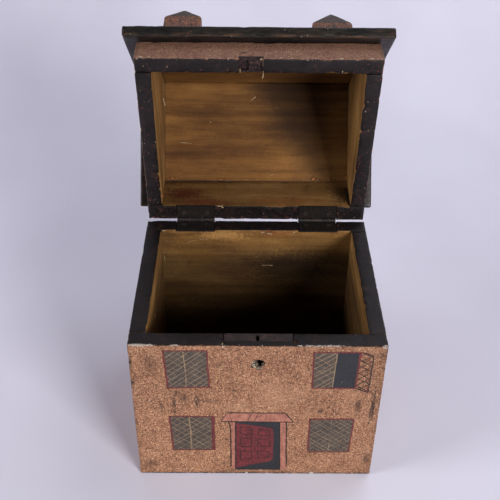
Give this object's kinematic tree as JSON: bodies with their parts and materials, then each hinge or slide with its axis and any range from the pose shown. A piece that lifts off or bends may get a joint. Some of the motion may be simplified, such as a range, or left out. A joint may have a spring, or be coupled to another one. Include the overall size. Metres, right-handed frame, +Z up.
{
  "type": "cottage money box",
  "caption": "Painted wooden cottage-shaped money box or caddy with a hinged gable-roof lid, butt hinges and a small till lock.",
  "frame": {"origin": "centre of the flat underside of the case", "axes": "+Z up, -Y is the painted front with the lock, +X to the right as seen from the front"},
  "size_m": [0.1586, 0.1918, 0.2442],
  "materials": {
    "front_wall": "stippled tan-pink paint outside, bare aged wood inside, rubbed varnish",
    "back_wall": "stippled tan-pink paint outside, bare aged wood inside, rubbed varnish",
    "left_wall": "stippled tan-pink paint outside, bare aged wood inside, rubbed varnish",
    "right_wall": "stippled tan-pink paint outside, bare aged wood inside, rubbed varnish",
    "bottom_board": "bare, aged",
    "nail_front_left_low": "dull iron, rust-brown",
    "nail_front_left_high": "dull iron, rust-brown",
    "nail_front_right_low": "dull iron, rust-brown",
    "nail_front_right_high": "dull iron, rust-brown",
    "nail_back_left_low": "dull iron, rust-brown",
    "nail_back_left_high": "dull iron, rust-brown",
    "nail_back_right_low": "dull iron, rust-brown",
    "nail_back_right_high": "dull iron, rust-brown",
    "hinge_left_lower_leaf": "blackened wrought iron, aged",
    "hinge_left_lower_screw_a": "dull iron, rust-brown",
    "hinge_left_lower_screw_b": "dull iron, rust-brown",
    "hinge_left_pin": "blackened wrought iron, aged",
    "hinge_right_lower_leaf": "blackened wrought iron, aged",
    "hinge_right_lower_screw_a": "dull iron, rust-brown",
    "hinge_right_lower_screw_b": "dull iron, rust-brown",
    "hinge_right_pin": "blackened wrought iron, aged",
    "lock_plate": "blackened iron, aged",
    "lock_cap": "blackened iron, aged",
    "lock_drill_pin": "blackened iron, aged",
    "lock_screw_left": "dull iron, rust-brown",
    "lock_screw_right": "dull iron, rust-brown",
    "lid_front_wall": "stippled tan-pink paint outside, bare aged wood inside, rubbed varnish",
    "lid_back_wall": "stippled tan-pink paint outside, bare aged wood inside, rubbed varnish",
    "lid_left_gable": "stippled tan-pink paint outside, bare aged wood inside, rubbed varnish",
    "lid_right_gable": "stippled tan-pink paint outside, bare aged wood inside, rubbed varnish",
    "roof_front_board": "dark painted slate colour, satin, worn",
    "roof_back_board": "dark painted slate colour, satin, worn",
    "dormer_left": "stippled tan-pink paint outside, bare aged wood inside, rubbed varnish",
    "dormer_right": "stippled tan-pink paint outside, bare aged wood inside, rubbed varnish",
    "nail_lid_front_left": "dull iron, rust-brown",
    "nail_lid_front_right": "dull iron, rust-brown",
    "nail_lid_back_left": "dull iron, rust-brown",
    "nail_lid_back_right": "dull iron, rust-brown",
    "nail_roof_front_left": "dull iron, rust-brown",
    "nail_roof_front_right": "dull iron, rust-brown",
    "nail_roof_back_left": "dull iron, rust-brown",
    "nail_roof_back_right": "dull iron, rust-brown",
    "hinge_left_upper_leaf": "blackened wrought iron, aged",
    "hinge_left_upper_screw_a": "dull iron, rust-brown",
    "hinge_left_upper_screw_b": "dull iron, rust-brown",
    "hinge_right_upper_leaf": "blackened wrought iron, aged",
    "hinge_right_upper_screw_a": "dull iron, rust-brown",
    "hinge_right_upper_screw_b": "dull iron, rust-brown",
    "lock_bolt": "blackened iron, aged",
    "lock_spring": "blackened iron, aged"
  },
  "bodies": {
    "case": {"front_wall": "front_wall", "back_wall": "back_wall", "left_wall": "left_wall", "right_wall": "right_wall", "bottom_board": "bottom_board", "nail_front_left_low": "nail_front_left_low", "nail_front_left_high": "nail_front_left_high", "nail_front_right_low": "nail_front_right_low", "nail_front_right_high": "nail_front_right_high", "nail_back_left_low": "nail_back_left_low", "nail_back_left_high": "nail_back_left_high", "nail_back_right_low": "nail_back_right_low", "nail_back_right_high": "nail_back_right_high", "hinge_left_lower_leaf": "hinge_left_lower_leaf", "hinge_left_lower_screw_a": "hinge_left_lower_screw_a", "hinge_left_lower_screw_b": "hinge_left_lower_screw_b", "hinge_left_pin": "hinge_left_pin", "hinge_right_lower_leaf": "hinge_right_lower_leaf", "hinge_right_lower_screw_a": "hinge_right_lower_screw_a", "hinge_right_lower_screw_b": "hinge_right_lower_screw_b", "hinge_right_pin": "hinge_right_pin", "lock_plate": "lock_plate", "lock_cap": "lock_cap", "lock_drill_pin": "lock_drill_pin", "lock_screw_left": "lock_screw_left", "lock_screw_right": "lock_screw_right"},
    "lid": {"lid_front_wall": "lid_front_wall", "lid_back_wall": "lid_back_wall", "lid_left_gable": "lid_left_gable", "lid_right_gable": "lid_right_gable", "roof_front_board": "roof_front_board", "roof_back_board": "roof_back_board", "dormer_left": "dormer_left", "dormer_right": "dormer_right", "nail_lid_front_left": "nail_lid_front_left", "nail_lid_front_right": "nail_lid_front_right", "nail_lid_back_left": "nail_lid_back_left", "nail_lid_back_right": "nail_lid_back_right", "nail_roof_front_left": "nail_roof_front_left", "nail_roof_front_right": "nail_roof_front_right", "nail_roof_back_left": "nail_roof_back_left", "nail_roof_back_right": "nail_roof_back_right", "hinge_left_upper_leaf": "hinge_left_upper_leaf", "hinge_left_upper_screw_a": "hinge_left_upper_screw_a", "hinge_left_upper_screw_b": "hinge_left_upper_screw_b", "hinge_right_upper_leaf": "hinge_right_upper_leaf", "hinge_right_upper_screw_a": "hinge_right_upper_screw_a", "hinge_right_upper_screw_b": "hinge_right_upper_screw_b"},
    "bolt": {"lock_bolt": "lock_bolt", "lock_spring": "lock_spring"}
  },
  "joints": [
    {"name": "lid_hinge", "type": "hinge", "parent": "case", "child": "lid", "pos_m": [0, 0.0619, 0.111], "axis": [-1, 0, 0], "range_deg": [-83, 84]},
    {"name": "bolt_slide", "type": "slide", "parent": "case", "child": "bolt", "axis": [1, 0, 0], "range_m": [0, 0.004]}
  ]
}
